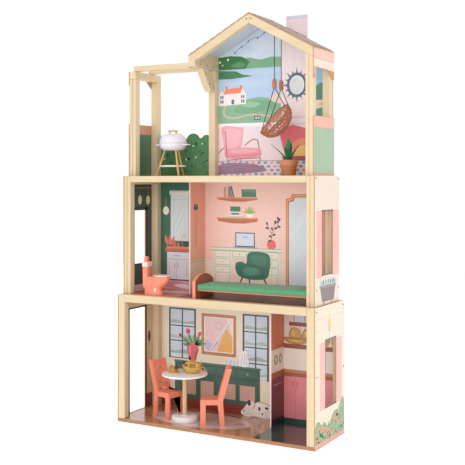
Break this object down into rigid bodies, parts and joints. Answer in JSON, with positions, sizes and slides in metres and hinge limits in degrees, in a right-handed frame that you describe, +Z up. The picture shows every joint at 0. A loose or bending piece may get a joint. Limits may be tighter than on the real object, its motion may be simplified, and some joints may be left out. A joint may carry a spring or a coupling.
{
  "type": "dollhouse",
  "caption": "Tall open-front wooden dollhouse with stepped storeys, printed walls, patio, pitched roof and loose doll furniture.",
  "frame": {"origin": "centre of the house's footprint, on the surface that it stands on", "axes": "+Z up, +X to the right as seen from the open front, -Y towards the open front"},
  "size_m": [0.6298, 0.2018, 1.171],
  "materials": {
    "pine": "satin",
    "cream_board": "printed, satin",
    "printed_board": "printed, satin",
    "floor_board": "printed, glossy",
    "roof_board": "printed, satin",
    "white_paint": "painted, satin",
    "coral_paint": "painted, satin",
    "green_paint": "matte",
    "gold_paint": "painted, satin",
    "terracotta": "matte",
    "leaf": "matte",
    "wicker": "woven",
    "cord": "matte"
  },
  "bodies": {
    "house": {"base_board": "pine", "bath_partition": "printed_board", "bottom_front_beam": "pine", "bottom_panel_back": "printed_board", "bottom_panel_left": "printed_board", "bottom_panel_right": "cream_board", "bottom_post_front_left": "pine", "bottom_post_front_right": "pine", "bottom_post_rear_left": "pine", "bottom_post_rear_right": "pine", "bottom_side_beam": "pine", "brace": "pine", "eave_beam": "pine", "hedge_panel": "printed_board", "kitchen_partition": "printed_board", "left_fence": "printed_board", "left_valance": "printed_board", "middle_floor": "floor_board", "middle_front_beam": "pine", "middle_panel_back": "printed_board", "middle_panel_left": "printed_board", "middle_panel_right": "cream_board", "middle_post_front_left": "pine", "middle_post_front_right": "pine", "middle_post_rear_left": "pine", "middle_post_rear_right": "pine", "middle_side_beam": "pine", "patio_cross_beam_front": "pine", "patio_cross_beam_rear": "pine", "patio_post_front": "pine", "patio_post_rear": "pine", "patio_side_beam": "pine", "rafter_left": "pine", "rafter_right": "pine", "right_fence": "printed_board", "right_valance": "printed_board", "roof_board_left": "roof_board", "roof_board_right": "roof_board", "room_panel_back": "printed_board", "room_post_front_right": "pine", "room_post_rear_left": "pine", "room_post_rear_right": "pine", "top_floor": "floor_board"},
    "table": {"table": "white_paint"},
    "chair_left": {"chair_left": "coral_paint"},
    "chair_right": {"chair_right": "coral_paint"},
    "fruit_bowl": {"fruit_bowl": "gold_paint"},
    "bread_tray": {"bread_tray": "gold_paint"},
    "toilet": {"toilet_body": "coral_paint"},
    "toilet_seat": {"toilet_seat": "coral_paint"},
    "bed": {"bed_frame": "coral_paint"},
    "mattress": {"mattress": "green_paint"},
    "grill": {"grill_stand": "white_paint"},
    "grill_lid": {"grill_lid": "white_paint"},
    "plant": {"plant_pot": "terracotta", "plant_leaves": "leaf"},
    "swing": {"hanging_basket": "wicker", "hanging_cord_front": "cord", "hanging_cord_rear": "cord"}
  },
  "joints": [
    {"name": "table_lift", "type": "slide", "parent": "house", "child": "table", "axis": [0, 0, 1], "range_m": [0, 0.1]},
    {"name": "chair_left_lift", "type": "slide", "parent": "house", "child": "chair_left", "axis": [0, 0, 1], "range_m": [0, 0.05]},
    {"name": "chair_right_lift", "type": "slide", "parent": "house", "child": "chair_right", "axis": [0, 0, 1], "range_m": [0, 0.05]},
    {"name": "fruit_bowl_lift", "type": "slide", "parent": "table", "child": "fruit_bowl", "axis": [0, 0, 1], "range_m": [0, 0.06]},
    {"name": "bread_tray_lift", "type": "slide", "parent": "table", "child": "bread_tray", "axis": [0, 0, 1], "range_m": [0, 0.06]},
    {"name": "toilet_lift", "type": "slide", "parent": "house", "child": "toilet", "axis": [0, 0, 1], "range_m": [0, 0.15]},
    {"name": "toilet_seat_hinge", "type": "hinge", "parent": "toilet", "child": "toilet_seat", "pos_m": [-0.2077, -0.06, 0.4283], "axis": [0, -1, 0], "range_deg": [0, 80]},
    {"name": "bed_lift", "type": "slide", "parent": "house", "child": "bed", "axis": [0, 0, 1], "range_m": [0, 0.15]},
    {"name": "mattress_lift", "type": "slide", "parent": "bed", "child": "mattress", "axis": [0, 0, 1], "range_m": [0, 0.05]},
    {"name": "grill_lift", "type": "slide", "parent": "house", "child": "grill", "axis": [0, 0, 1], "range_m": [0, 0.08]},
    {"name": "grill_lid_lift", "type": "slide", "parent": "grill", "child": "grill_lid", "axis": [0, 0, 1], "range_m": [0, 0.05]},
    {"name": "plant_slide", "type": "slide", "parent": "house", "child": "plant", "axis": [0, -1, 0], "range_m": [0, 0.1]},
    {"name": "basket_swing", "type": "hinge", "parent": "house", "child": "swing", "pos_m": [0.158, 0, 1.131], "axis": [0, 1, 0], "range_deg": [-14, 14]}
  ]
}
